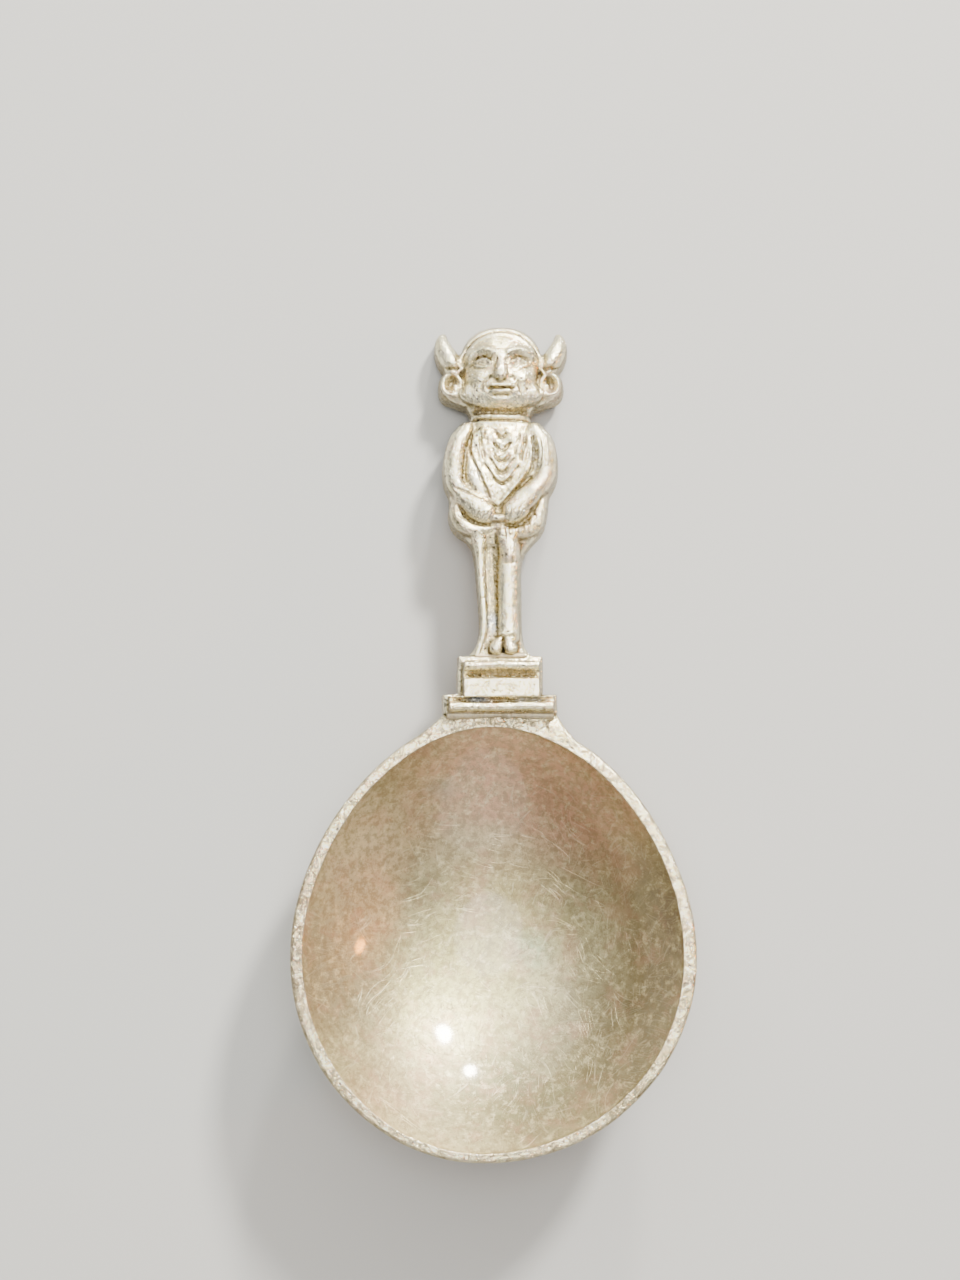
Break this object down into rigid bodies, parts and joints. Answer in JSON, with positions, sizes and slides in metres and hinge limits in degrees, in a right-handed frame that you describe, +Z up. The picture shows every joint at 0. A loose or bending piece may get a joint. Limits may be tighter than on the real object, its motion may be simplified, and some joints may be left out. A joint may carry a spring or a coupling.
{
  "type": "souvenir spoon",
  "caption": "Small cast brass caddy spoon with an egg-shaped bowl, a stepped plinth and a standing horned imp as its handle.",
  "frame": {"origin": "middle of the spoon's overall box at table height, with the spoon lying as it rests, bowl and handle end on the table", "axes": "+Y along the spoon from the bowl towards the figure's head, +Z up with the bowl's mouth facing up, +X to the figure's left"},
  "size_m": [0.0398, 0.0826, 0.0155],
  "materials": {
    "bowl_brass": "tarnished satin, finely scratched",
    "cast_brass": "worn sand-cast surface, dull in the hollows",
    "solder": "dull grey soft solder"
  },
  "bodies": {
    "root": {"bowl": "bowl_brass", "plinth": "cast_brass", "imp_figure": "cast_brass", "bowl_solder": "solder", "figure_solder": "solder"}
  },
  "joints": []
}
